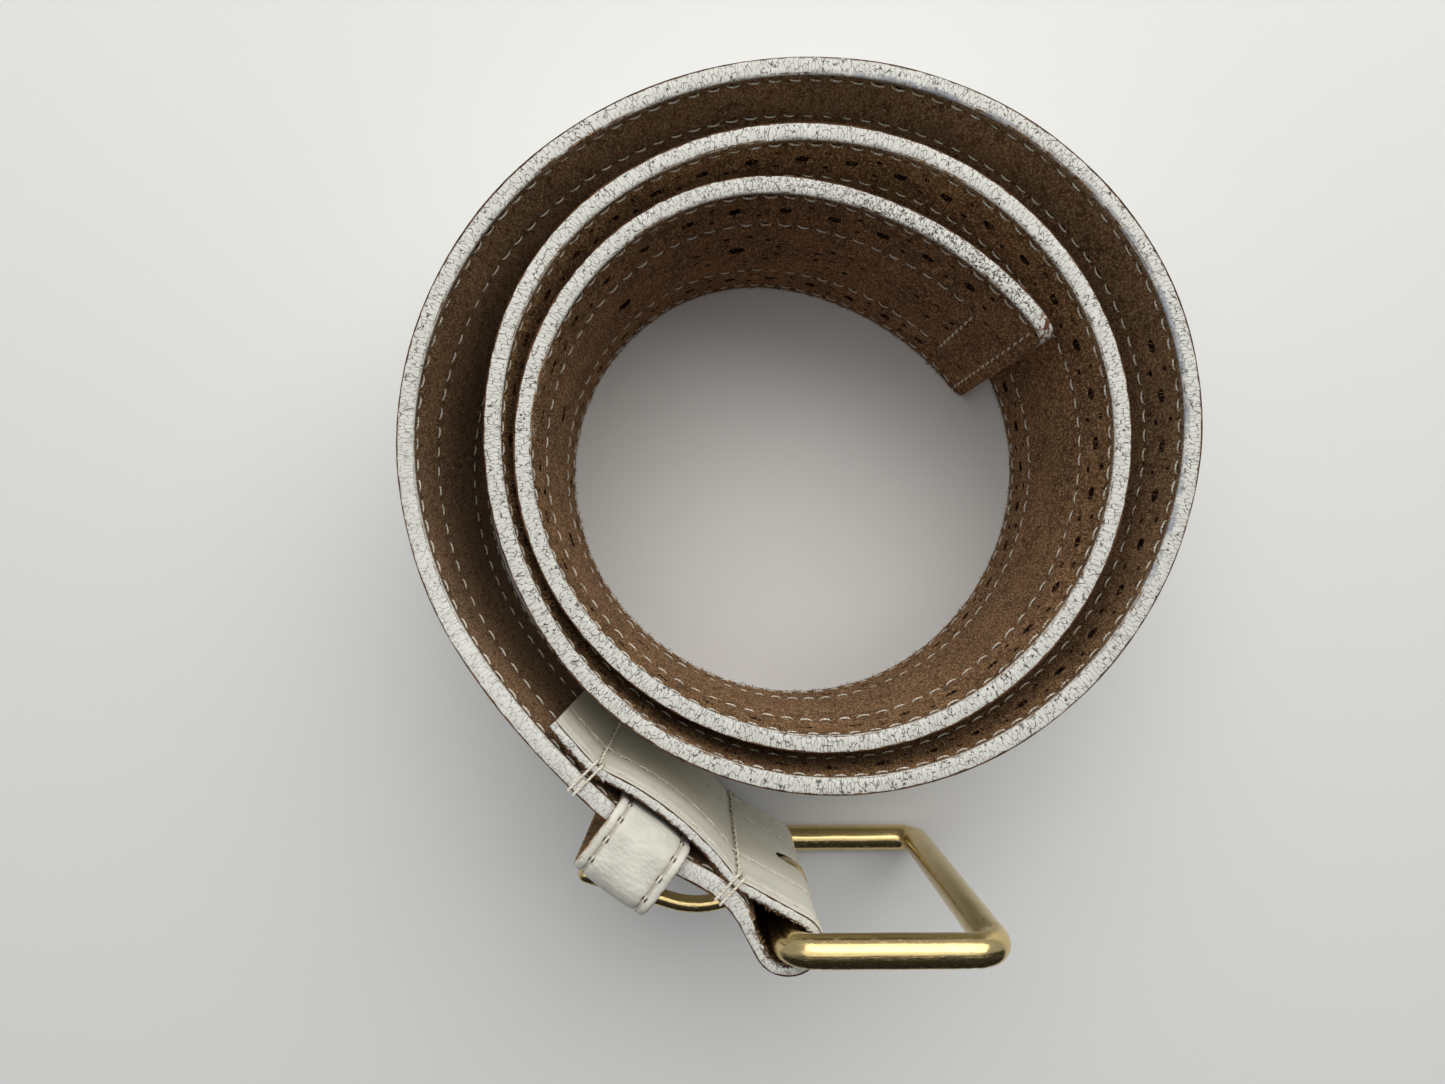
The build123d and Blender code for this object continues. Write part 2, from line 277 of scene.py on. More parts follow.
class Finish:
    """A principled material, built up from procedural nodes."""

    def __init__(self, name, **fixed):
        self.material = bpy.data.materials.new(name)
        self.material.use_nodes = True
        self.tree = self.material.node_tree
        self.tree.nodes.clear()
        self.shader, output = self.add("BsdfPrincipled"), self.add("OutputMaterial")
        self.tree.links.new(self.shader.outputs["BSDF"], output.inputs["Surface"])
        for socket, value in fixed.items():
            self.shader.inputs[socket.replace("_", " ")].default_value = value
        source = self.add("Attribute")
        source.attribute_name = "lay"
        self.lay = source.outputs["Vector"]
        parts = self.add("SeparateXYZ")
        self.put(parts.inputs[0], self.lay)
        self.along, self.height, self.outward = parts.outputs

    def add(self, kind):
        return self.tree.nodes.new("ShaderNode" + kind)

    def put(self, socket, value):
        if isinstance(value, bpy.types.NodeSocket):
            self.tree.links.new(value, socket)
        else:
            socket.default_value = value

    def math(self, operation, *values):
        """An arithmetic node. Values are numbers or other nodes' outputs."""
        node = self.add("Math")
        node.operation = operation
        for socket, value in zip(node.inputs, values):
            self.put(socket, value)
        return node.outputs[0]

    def off(self, value, centre):
        """How far a value is from a centre."""
        return self.math("ABSOLUTE", self.math("SUBTRACT", value, centre))

    def scaled(self, *scale):
        """The layout stretched by a factor for each direction."""
        node = self.add("VectorMath")
        node.operation = "MULTIPLY"
        self.put(node.inputs[0], self.lay)
        node.inputs[1].default_value = scale
        return node.outputs[0]

    def noise(self, size, detail=2.0, roughness=0.5, scale=(1, 1, 1)):
        """Cloudy values about 0.5. size is in millimetres."""
        node = self.add("TexNoise")
        self.put(node.inputs["Vector"], self.scaled(*scale))
        node.inputs["Scale"].default_value = 1 / size
        node.inputs["Detail"].default_value = detail
        node.inputs["Roughness"].default_value = roughness
        return node.outputs["Fac"]

    def cells(self, size, feature="F1", scale=(1, 1, 1)):
        """Distance to the middle, or to the edge, of scattered cells."""
        node = self.add("TexVoronoi")
        node.feature = feature
        self.put(node.inputs["Vector"], self.scaled(*scale))
        node.inputs["Scale"].default_value = 1 / size
        return node.outputs["Distance"]

    def step(self, value, low, high):
        """0 below low and 1 above high, smooth between. low may be the greater."""
        node = self.add("MapRange")
        node.interpolation_type = "SMOOTHSTEP"
        self.put(node.inputs["Value"], value)
        if low < high:
            bounds = (low, high, 0.0, 1.0)
        else:
            bounds = (high, low, 1.0, 0.0)
        for name, number in zip(("From Min", "From Max", "To Min", "To Max"), bounds):
            node.inputs[name].default_value = number
        return node.outputs["Result"]

    def times(self, *values):
        return reduce(lambda a, b: self.math("MULTIPLY", a, b), values)

    def greatest(self, *values):
        return reduce(lambda a, b: self.math("MAXIMUM", a, b), values)

    def mix(self, share, first, second):
        """The first colour, turning into the second as share goes from 0 to 1."""
        node = self.add("Mix")
        node.data_type = "RGBA"
        self.put(node.inputs["Factor"], share)
        self.put(node.inputs[6], first)
        self.put(node.inputs[7], second)
        return node.outputs[2]

    def bump(self, height, distance, strength=1.0, below=None):
        """distance is the relief in millimetres."""
        node = self.add("Bump")
        node.inputs["Strength"].default_value = strength
        node.inputs["Distance"].default_value = distance * MM
        self.put(node.inputs["Height"], height)
        if below is not None:
            self.put(node.inputs["Normal"], below)
        return node.outputs["Normal"]

    def coat(self, share, *colour):
        """Lays an 8-bit sRGB colour over the surface's, by share."""
        self.colour = self.mix(share, self.colour, srgb(*colour))

    def finish(self, roughness, normal=None):
        """Links what varies over the surface to the shader."""
        self.put(self.shader.inputs["Base Color"], self.colour)
        self.put(self.shader.inputs["Roughness"], roughness)
        if normal is not None:
            self.put(self.shader.inputs["Normal"], normal)
        return self.material

    def stitch_holes(self, reach):
        """1 at the needle holes between the stitches along the strap, and 1 along their rows."""
        beat = self.math("PINGPONG", self.along, STITCH / 2)
        at_end = self.step(beat, STITCH / 2 - 0.58, STITCH / 2 - 0.32)
        found = self.greatest(*[self.step(self.off(self.height, row), reach, reach * 0.4) for row in ROWS])
        return self.times(at_end, found), found

    def long_edges(self, inner, outer):
        """1 at the strap's two long edges, and 0 from a distance inside them."""
        return self.greatest(self.step(self.height, inner, outer),
                             self.step(self.height, WIDTH - inner, WIDTH - outer))


def white_leather():
    """Creamy fine-grained face, worn at its edges near the fold, with painted shade in its creases, along
    its stitch rows and in its needle holes.
    """
    m = Finish("white leather", Specular_IOR_Level=0.45)
    grain = m.cells(0.5, scale=(1.0, 0.7, 1.0))
    fine = m.noise(0.18, 3.0, 0.6)
    broad = m.noise(14.0, 3.0, 0.55)
    fold = m.off(m.noise(3.2, 3.0, 0.6, scale=(1.0, 0.35, 1.0)), 0.5)
    line = m.times(m.step(fold, 0.012, 0.0), m.step(m.noise(9.0, 1.0), 0.42, 0.62))
    holes, groove = m.stitch_holes(0.42)
    m.colour = m.mix(m.step(broad, 0.30, 0.75), srgb(220, 216, 202), srgb(231, 228, 216))
    # Creases, stitch grooves and needle holes darkened: painted shade in these recesses.
    m.coat(m.times(line, 0.28), 150, 140, 120)
    m.coat(m.times(groove, 0.45), 138, 128, 108)
    m.coat(holes, 52, 38, 28)
    beat = m.math("PINGPONG", m.height, STITCH / 2)
    # Tie rows darkened as a seam line with dark needle holes: painted shade.
    for tie_row in (TIE_FAR, TIE_NEAR, TAIL_NEAR, TAIL_FAR):
        off = m.off(m.along, tie_row)
        m.coat(m.times(m.step(off, 0.7, 0.2), 0.4), 120, 110, 92)
        m.coat(m.times(m.step(off, 0.4, 0.2), m.step(beat, 1.2, 1.5)), 78, 64, 50)
    worn = m.times(m.long_edges(1.0, 0.2), m.step(m.noise(2.2, 3.0, 0.6), 0.45, 0.62),
                   m.step(m.along, LINED + 8, LINED))
    m.coat(worn, 142, 112, 84)
    normal = m.bump(m.math("ADD", m.times(grain, 0.6), m.times(fine, 0.4)), 0.10, 0.55)
    normal = m.bump(m.times(line, -1.0), 0.06, 0.5, normal)
    return m.finish(m.math("ADD", 0.42, m.times(fine, 0.2)), normal)


def keeper_leather():
    """The same leather with a coarser grain. Here along is across the keeper, height round it."""
    m = Finish("keeper leather", Specular_IOR_Level=0.5)
    ribs = m.cells(0.62, scale=(0.6, 1.0, 1.0))
    fine = m.noise(0.15, 2.0, 0.6)
    broad = m.noise(6.0, 2.0)
    beat = m.math("PINGPONG", m.height, KEEPER_STITCH / 2)
    row = m.off(m.math("ABSOLUTE", m.along), KEEPER_ROW)
    groove = m.step(row, 0.5, 0.15)
    hole = m.times(m.step(beat, 1.25, 1.6), m.step(row, 0.55, 0.25))
    m.colour = m.mix(m.step(broad, 0.35, 0.65), srgb(204, 201, 189), srgb(222, 219, 207))
    # Stitch grooves and needle holes darkened: painted shade in these recesses.
    m.coat(m.times(groove, 0.6), 158, 148, 130)
    m.coat(hole, 40, 28, 20)
    rim = m.step(m.math("ABSOLUTE", m.along), KEEPER_WIDTH / 2 - 0.4, KEEPER_WIDTH / 2 - 0.05)
    m.coat(m.times(rim, m.step(m.noise(1.4, 3.0), 0.42, 0.6)), 168, 146, 116)
    normal = m.bump(m.math("ADD", m.times(ribs, 0.7), m.times(fine, 0.3)), 0.16, 0.8)
    return m.finish(m.math("ADD", 0.34, m.times(broad, 0.16)), normal)


def edge_paint():
    """Crackled white paint, chipped near the tip and frayed at the tail. Here height is depth."""
    m = Finish("crackled edge paint", Specular_IOR_Level=0.35)
    crack = m.cells(0.80, "DISTANCE_TO_EDGE", scale=(1.3, 1.0, 0.5))
    small = m.cells(0.36, "DISTANCE_TO_EDGE", scale=(1.2, 1.0, 0.8))
    patch = m.noise(3.0, 3.0, 0.6)
    broken = m.noise(0.9, 3.0, 0.65)
    calm = m.math("ADD", 0.6, m.times(m.step(m.along, 800.0, 770.0), 0.4))
    wide = m.times(m.step(crack, 0.055, 0.02), m.step(broken, 0.38, 0.52), calm, m.step(m.along, 2.0, 4.0))
    thin = m.times(m.step(small, 0.07, 0.01), m.step(patch, 0.38, 0.58))
    speck = m.times(m.step(m.cells(1.15), 0.22, 0.14), m.step(m.noise(5.0, 2.0), 0.46, 0.60), calm)
    worn_end = m.times(m.step(m.along, 110.0, 5.0), m.step(m.noise(0.42, 3.0, 0.65), 0.54, 0.59))
    worn_end = m.times(worn_end, m.step(m.along, 3.0, 6.0))
    m.colour = m.mix(patch, srgb(204, 203, 196), srgb(232, 231, 224))
    m.coat(m.times(thin, 0.40), 138, 133, 124)
    m.coat(m.times(wide, 0.92), 70, 60, 52)
    m.coat(m.times(speck, 0.9), 40, 34, 30)
    m.coat(worn_end, 46, 36, 30)
    bevel = m.times(m.step(m.height, 0.2, 0.5), m.step(m.outward, -1.0, -1.3))
    ragged = m.noise(0.5, 3.0, 0.65)
    m.coat(m.times(bevel, m.step(ragged, 0.42, 0.60)), 112, 86, 60)
    fringe = m.times(m.step(m.along, LINED, LINED + 3), m.step(m.outward, 0.2, -0.1))
    m.coat(m.times(fringe, m.step(ragged, 0.44, 0.54)), 74, 52, 36)
    raw = m.times(m.step(m.outward, 0.75, 1.1), m.step(m.noise(1.6, 3.0, 0.6), 0.50, 0.62),
                  m.step(m.along, LINED + 8, LINED))
    m.coat(m.times(raw, 0.8), 122, 92, 64)
    corner = m.times(m.step(m.along, 4.5, 3.2), m.step(m.noise(1.2, 3.0, 0.6), 0.50, 0.56))
    m.coat(corner, 104, 66, 42)
    # Grey-blue band on the inner chamfer along one stretch of the coil: painted sheen.
    painted_sheen = m.times(m.step(m.along, 545.0, 580.0), m.step(m.along, 700.0, 670.0),
                    m.step(m.outward, -0.55, -0.95), m.step(m.noise(2.6, 3.0, 0.6), 0.40, 0.54))
    m.coat(m.times(painted_sheen, 0.7), 140, 141, 152)
    height = m.math("SUBTRACT", m.times(patch, 0.6), m.greatest(wide, m.times(thin, 0.5), speck, worn_end))
    return m.finish(m.math("ADD", 0.5, m.times(patch, 0.2)), m.bump(height, 0.10, 0.7))


def suede():
    """Brown brushed suede with pale fibres, dusty on the outer turn."""
    m = Finish("suede lining", Specular_IOR_Level=0.1, Sheen_Weight=0.10, Sheen_Roughness=0.5,
               Sheen_Tint=(0.85, 0.6, 0.4, 1.0))
    tuft = m.noise(1.1, 4.0, 0.75, scale=(1.0, 0.40, 1.0))
    nap = m.noise(0.36, 3.0, 0.75, scale=(1.0, 0.45, 1.0))
    swirl = m.noise(9.0, 3.0, 0.6)
    m.colour = m.mix(m.step(swirl, 0.32, 0.70), srgb(94, 63, 41), srgb(130, 92, 60))
    m.coat(m.times(m.step(nap, 0.50, 0.61), 0.85), 206, 168, 124)
    m.coat(m.times(m.step(tuft, 0.48, 0.36), 0.7), 56, 35, 23)
    m.coat(m.times(m.step(nap, 0.46, 0.36), 0.7), 54, 34, 22)
    dust = m.times(m.step(m.along, 520.0, 600.0), m.step(tuft, 0.40, 0.55))
    m.coat(m.times(dust, 0.35), 122, 106, 92)
    holes, groove = m.stitch_holes(0.6)
    # Stitch grooves and needle holes darkened: painted shade in these recesses.
    m.coat(m.times(groove, 0.4), 60, 40, 26)
    m.coat(holes, 20, 12, 8)
    m.coat(m.times(m.long_edges(2.0, 0.6), m.step(m.noise(0.9, 3.0, 0.65), 0.44, 0.62), 0.65), 160, 144, 122)
    normal = m.bump(m.math("ADD", m.times(tuft, 0.6), m.times(nap, 0.4)), 0.6, 1.0)
    return m.finish(0.95, normal)


def raw_leather(name, dark, light, deep):
    """Fibrous cut leather."""
    m = Finish(name, Specular_IOR_Level=0.15)
    fibre = m.noise(0.3, 4.0, 0.7, scale=(1.0, 1.0, 0.5))
    broad = m.noise(3.0, 2.0)
    m.colour = m.mix(m.step(broad, 0.3, 0.7), srgb(*dark), srgb(*light))
    m.coat(m.step(fibre, 0.5, 0.35), *deep)
    return m.finish(0.9, m.bump(fibre, 0.25, 0.8))


def thread():
    """Pale twisted thread, a little grimy."""
    m = Finish("thread", Specular_IOR_Level=0.2)
    twist = m.math("SINE", m.times(m.math("ADD", m.along, m.times(m.height, 0.9)), 9.0))
    grime = m.noise(2.5, 3.0, 0.6)
    m.colour = m.mix(m.step(grime, 0.35, 0.65), srgb(218, 208, 188), srgb(246, 241, 229))
    # Darker in the twist's grooves: painted shade.
    m.coat(m.times(m.step(twist, 0.0, -0.9), 0.35), 140, 124, 100)
    return m.finish(0.8, m.bump(twist, 0.05, 0.6))


def brass():
    """Polished yellow brass with fine scratches and a few tarnished spots."""
    m = Finish("brass", Metallic=1.0)
    cloud = m.noise(4.0, 3.0, 0.6)
    scratch = m.noise(0.22, 2.0, 0.6, scale=(0.12, 1.0, 1.0))
    line = m.step(scratch, 0.62, 0.72)
    spot = m.times(m.step(m.cells(1.7), 0.16, 0.08), m.step(m.noise(5.0, 2.0), 0.48, 0.6))
    m.colour = m.mix(cloud, srgb(206, 180, 122), srgb(228, 206, 150))
    m.coat(m.times(spot, 0.6), 110, 78, 36)
    roughness = m.math("ADD", m.math("ADD", 0.15, m.times(cloud, 0.14)), m.times(line, 0.18))
    normal = m.bump(m.noise(2.6, 2.0, 0.5, scale=(0.4, 1.0, 1.0)), 0.06, 0.5)
    return m.finish(roughness, m.bump(m.times(line, -1.0), 0.02, 0.5, normal))


WHITE, PAINT, BRASS = white_leather(), edge_paint(), brass()
# Raw leather of the inner side and cut edges: its own brown, darkened further as painted shade.
RAW = raw_leather("raw leather", (62, 40, 27), (100, 68, 44), (38, 24, 17))
# Walls of the punched holes: a much darker copy of the raw leather, painted shade.
HOLE_SHADE = raw_leather("painted shade inside punched holes", (30, 19, 13), (48, 31, 20), (18, 11, 8))
FIBRE = raw_leather("loose fibres", (118, 88, 58), (172, 138, 96), (86, 62, 42))
KEEPER_WHITE, SUEDE, THREAD = keeper_leather(), suede(), thread()


# ---- the strap's two layers ---------------------------------------------------------------
def grid_loop(left, right, low, high):
    """The grid points round a rectangle of cells, in order."""
    return ([(i, low) for i in range(left, right)] + [(right, j) for j in range(low, high)]
            + [(i, high) for i in range(right, left, -1)] + [(left, j) for j in range(high, low, -1)])


class Sheet:
    """A closed sheet over a grid of stations and heights, with holes punched through it."""

    def __init__(self, stations, heights):
        self.along, self.height = np.array(stations, float), np.array(heights, float)
        self.gone = np.zeros((len(stations) - 1, len(heights) - 1), bool)
        self.rings = []

    def hole(self, along, height, radius, half_length=0.0, margin=0.1):
        """A round hole, or a long one if it has a half length between its end centres."""
        reach = half_length + radius + margin
        left = np.searchsorted(self.along, along - reach, side="right") - 1
        right = np.searchsorted(self.along, along + reach)
        low = np.searchsorted(self.height, height - radius - margin, side="right") - 1
        high = np.searchsorted(self.height, height + radius + margin)
        if left < 0 or right >= len(self.along) or self.gone[left:right, low:high].any():
            return False
        self.gone[left:right, low:high] = True
        loop, ring = grid_loop(left, right, low, high), []
        for i, j in loop:
            across, up = self.along[i] - along, self.height[j] - height
            core = min(max(across, -half_length), half_length)
            far = math.hypot(across - core, up)
            ring.append((along + core + (across - core) * radius / far, height + up * radius / far))
        self.rings.append((loop, ring))
        return True

    def build(self, outer, inner):
        """Points, faces, layout and kinds: 0 outer side, 1 inner side and rim, 2 inside of holes."""
        rows = len(self.height)
        along, height = (a.ravel() for a in np.meshgrid(self.along, self.height, indexing="ij"))
        ring_along = np.array([p[0] for _, ring in self.rings for p in ring])
        ring_height = np.array([p[1] for _, ring in self.rings for p in ring])
        on_ring = np.concatenate([np.zeros(len(along)), np.ones(len(ring_along))])
        along, height = np.concatenate([along, ring_along]), np.concatenate([height, ring_height])
        height = tip_height(along, height)
        points, lay = [], []
        for side in (outer, inner):
            outward = side(along, height, on_ring)
            points.append(strap_point(along, height, outward))
            lay.append(np.stack([along, height, outward], -1))
        count = len(along)
        cell = np.argwhere(~self.gone)
        corner = cell[:, 0] * rows + cell[:, 1]
        top = np.stack([corner, corner + rows, corner + rows + 1, corner + 1], -1).tolist()
        walls, rims, base = [], [], len(self.along) * rows
        for loop, ring in self.rings:
            size = len(loop)
            for k in range(size):
                a, b = (loop[n % size][0] * rows + loop[n % size][1] for n in (k, k + 1))
                c, d = base + (k + 1) % size, base + k
                top.append([a, b, c, d])
                walls.append([d, c, c + count, d + count])
            base += size
        rim = [i * rows + j for i, j in grid_loop(0, len(self.along) - 1, 0, rows - 1)]
        for k, a in enumerate(rim):
            b = rim[(k + 1) % len(rim)]
            rims.append([b, a, a + count, b + count])
        under = [[i + count for i in face[::-1]] for face in top]
        kinds = [0] * len(top) + [1] * (len(under) + len(rims)) + [2] * len(walls)
        return np.concatenate(points), top + under + rims + walls, np.concatenate(lay), kinds


def heights_of_strap():
    """Grid rows from the bottom edge to the top one, close together at edges and stitch rows."""
    edge = [0, 0.4, 1.0, 1.7, 2.15, EDGE_ROW, 2.85, 3.6]
    punched = [BAND + 1.35 * k for k in range(-3, 4)]
    inner = [14.2, 15.1, INNER_ROW, 15.9, 16.8, 18.2]
    middle = [30 - 1.15 * k for k in range(9, 0, -1)]
    half = edge + punched + inner + middle
    return half + [30.0] + [WIDTH - z for z in half[::-1]]


def stations_of_strap(end):
    """Grid stations from the tip to an end, close together where holes and the fold are."""
    near_tip = [0, 0.12, 0.45, 1.0, 1.7, 2.5, 3.4]
    punched = np.arange(BAND_FROM - 6 * COLUMN, BAND_TO + 4, COLUMN)
    rest = np.arange(punched[-1] + 2, FINE_FROM, 3.0)
    fold = np.arange(rest[-1] + 1, min(end, FINE_TO) - 0.4, 0.8)
    tail = np.arange(FINE_TO, end - 0.4, 1.7) if end > FINE_TO else []
    return np.concatenate([near_tip, punched, rest, fold, tail, [end]])


def punch(sheet):
    """The punched bands along both edges, the prong holes and the rosettes between them."""
    for k in range(int((BAND_TO - BAND_FROM) / BAND_PERIOD) + 1):
        for middle in (BAND, WIDTH - BAND):
            for off in (-BAND_SPREAD, BAND_SPREAD):
                sheet.hole(BAND_FROM + k * BAND_PERIOD, middle + off, BAND_DOT, margin=0.08)
            sheet.hole(BAND_FROM + (k + 0.5) * BAND_PERIOD, middle, BAND_HOLE)
    for k in range(HOLE_COUNT):
        sheet.hole(HOLE_FIRST + HOLE_PITCH * k, WIDTH / 2, HOLE_RADIUS)
    for along, height, reach, tall, count in ROSETTES:
        for k in range(count):
            turn = (k + 0.5) * 2 * math.pi / count
            sheet.hole(along + reach * math.cos(turn), height + tall * math.sin(turn), 0.62, margin=0.05)
    for along in (35.8, 38.8):
        sheet.hole(along, 29.8, 0.55, margin=0.05)


def to_edge(height):
    """Distance to the nearer long edge."""
    return np.minimum(height, WIDTH - height)


def row_groove(height, width=0.4):
    """1 on the stitch rows along the strap."""
    return sum(near(height, row, width) for row in ROWS)


def face_out(along, height, on_ring):
    """The white face: rounded at the edges, pressed in under the stitches."""
    soft = 0.10 * ripple(along, height, 26.0, 3) + 0.03 * ripple(along, height, 4.0, 4)
    padded = 0.18 * near(height, 30.0, 13.0)
    beat = 0.7 + 0.3 * np.cos(2 * math.pi * along / STITCH)
    tail = np.clip((along - LINED) / 20, 0, 1)
    pull = (0.16 + 0.16 * tail) * row_groove(height) * beat
    pull = pull - tail * 0.22 * (near(to_edge(height), 1.2, 0.6) + near(to_edge(height), 4.4, 1.2) * beat)
    pinch = 0.35 * near(along, TAIL_NEAR, 1.2) + 0.25 * near(along, TAIL_FAR, 1.2)
    rounded = 0.08 * near(to_edge(height), 0, 0.4)
    return HALF + soft * 0.6 + padded * 0.5 - pull - pinch - rounded - 0.12 * on_ring


def fuzz_damp(along):
    """Less relief where the strap lies against the keeper, the tail and the bar."""
    return 1 - 0.75 * np.clip((along - 770) / 30, 0, 1)


def bulge(along, height):
    """How far the lining stands off the strap's flat section."""
    return 0.6 * fuzz_damp(along) * np.sin(np.pi * np.clip(height, 0, WIDTH) / WIDTH)


def lining_in(along, height, on_ring):
    """The suede side: napped, rolled at the edges, drawn in under the stitches."""
    calm = fuzz_damp(along)
    nap = 0.09 * ripple(along, height, 3.1, 21) + 0.07 * ripple(along, height, 1.9, 22)
    sag = 0.22 * ripple(along, height, 34.0, 23)
    beat = 0.65 + 0.35 * np.cos(2 * math.pi * along / STITCH)
    roll = 0.06 * near(to_edge(height), 1.2, 0.7) * beat
    pull = 0.30 * row_groove(height, 0.55) * beat
    edge = 0.1 * near(to_edge(height), 0, 0.4)
    return -HALF - bulge(along, height) + calm * (nap + sag * 0.6 - roll + pull) + 0.12 * on_ring + edge


def glued(offset):
    """The side where face and lining meet."""
    return lambda along, height, on_ring: np.full_like(along, JOIN + offset)


leather_sheet = Sheet(stations_of_strap(END), heights_of_strap())
punch(leather_sheet)
leather_sheet.hole(SLOT_AT, WIDTH / 2, SLOT_RADIUS, half_length=SLOT_HALF, margin=0.2)
*shape, kinds = leather_sheet.build(face_out, glued(0.02))
make_piece("strap_leather", shape, "strap", [WHITE, RAW, HOLE_SHADE], ["face_leather"], kinds)

suede_sheet = Sheet(stations_of_strap(LINED), heights_of_strap())
punch(suede_sheet)
*shape, kinds = suede_sheet.build(glued(-0.02), lining_in)
make_piece("strap_suede", shape, "strap", [SUEDE, SUEDE, HOLE_SHADE], ["lining_suede"], kinds)


# ---- painted edges ------------------------------------------------------------------------
DOWN_END = 4.6                  # how far the paint runs down the strap's end


def paint_edge(name, top):
    """Paint over one long edge, round the tip's corner and a little way down the strap's end."""
    down = np.arange(DOWN_END, 0, -0.6)
    corner = np.radians(np.arange(180, 90, -7.5))
    run = np.concatenate([np.arange(TIP_CORNER, LINED - 4, 0.8), np.arange(LINED - 4, END + 0.05, 0.4)])
    along = np.concatenate([0 * down, TIP_CORNER + TIP_CORNER * np.cos(corner), run])
    height = np.concatenate([WIDTH - TIP_CORNER - down, WIDTH - TIP_CORNER + TIP_CORNER * np.sin(corner),
                             0 * run + WIDTH])
    in_along = np.concatenate([0 * down + 1, -np.cos(corner), 0 * run])
    in_height = np.concatenate([0 * down, -np.sin(corner), 0 * run - 1])
    # The paint's section: how far from its outer to its inner side, and how deep below the edge.
    share = np.array([0, 0, 0.12, 0.4, 0.7, 0.9, 1.0, 1.01, 0.94, 0.86])
    depth = np.array([0.30, 0.0, -0.09, -0.12, -0.10, -0.03, 0.20, 0.55, 0.75, 0.45])
    jag = ripple(along, 0, 2.1, 31) * 0.16 + ripple(along, 0, 1.0, 32) * 0.14
    inner = np.interp(along, (LINED - 3, LINED + 2, FOLD_END, FOLD_END + 5), (-1.46, -0.42, -0.38, -0.26))
    inner = inner + jag * np.interp(along, (LINED - 3, FOLD_END), (0.2, 0.7))
    outer = 1.06 + 0.08 * ripple(along, 0, 3.3, 33)
    outward = outer[:, None] + (inner - outer)[:, None] * share[None]
    deep = depth[None] + (np.clip(share - 0.95, 0, 0.05) * 20)[None] * jag[:, None]
    deep = deep + 0.02 * ripple(along[:, None] + 0 * share, outward * 3, 1.7, 34)
    if not top:
        deep = deep + 0.14
    along_at = along[:, None] + in_along[:, None] * deep
    height_at = height[:, None] + in_height[:, None] * deep
    if not top:
        height_at = WIDTH - height_at
    points = strap_point(along_at, height_at, outward)
    lay = stacked(along[:, None], deep, outward)
    make_piece(name, lofted(points, lay), "strap", [PAINT], crease=60)


paint_edge("edge_paint_top", True)
paint_edge("edge_paint_bottom", False)


# ---- stitches -----------------------------------------------------------------------------
def stitches(centres, place, length=2.6, width=0.42, proud=0.12, slant=0.16, sides=6):
    """Short threads that dive in at both ends. place(a, b, up) puts a point on the piece:
    a runs along the row, b across it and up away from the surface."""
    centres = np.asarray(centres, float)
    part = np.array([-1, -0.72, -0.3, 0.3, 0.72, 1])
    turn = np.arange(sides) * 2 * math.pi / sides
    uneven = rng.uniform(-0.06, 0.06, (4, len(centres)))
    a = centres[:, None, None] + part[None, :, None] * (length / 2 + uneven[0][:, None, None]) + 0 * turn
    lean = slant + uneven[1]
    radius = (width / 2) * (1 - 0.25 * part ** 2)[None, :, None] * (1 + 1.5 * uneven[2])[:, None, None]
    b = lean[:, None, None] * part[None, :, None] + radius * np.cos(turn)
    dive = 0.55 * (part ** 4)[None, :, None]
    up = proud + uneven[3][:, None, None] * 0.6 - dive + 0.7 * radius * np.sin(turn)
    points = place(a, b, up)
    lay = stacked(a, b, up)
    return points.reshape(-1, 3), many_lofts(a.shape), lay.reshape(-1, 3)


def along_row(start, end):
    """Middles of the stitches of a row."""
    return np.arange(start + STITCH / 2, end - 1.2, STITCH)


def thread_piece(name, body, node, *parts):
    make_piece(name, join(*parts), body, [THREAD], [node])


def strap_row(name, row, node, start):
    """A row along the whole strap, on its face and on its lining."""
    def on_face(a, b, up):
        return strap_point(a, row + b, HALF - 0.07 + up)

    def on_lining(a, b, up):
        return strap_point(a, row + b, -(HALF + bulge(a, row + b) - 0.10 * fuzz_damp(a) + up))

    first = math.ceil(start / STITCH) * STITCH
    thread_piece(name, "strap", node, stitches(along_row(first, END), on_face),
                 stitches(along_row(first, LINED), on_lining))


strap_row("thread_bottom", EDGE_ROW, "stitch_row_bottom", TIP_END)
strap_row("thread_low", INNER_ROW, "stitch_row_low", TIP_CROSS)
strap_row("thread_high", WIDTH - INNER_ROW, "stitch_row_high", TIP_CROSS)
strap_row("thread_top", WIDTH - EDGE_ROW, "stitch_row_top", TIP_END)


def row_across(name, along, low, high, node):
    """A row across the strap near its tip, on its face and on its lining."""
    def on_face(a, b, up):
        return strap_point(along + b, a, HALF + up)

    def on_lining(a, b, up):
        return strap_point(along + b, a, -(HALF + bulge(along + b, a) + up))

    centres = along_row(low, high)
    thread_piece(name, "strap", node, stitches(centres, on_face), stitches(centres, on_lining))


row_across("thread_tip_end", TIP_END, EDGE_ROW, WIDTH - EDGE_ROW, "tip_end_stitch")
row_across("thread_tip_cross", TIP_CROSS, INNER_ROW, WIDTH - INNER_ROW, "tip_cross_stitch")


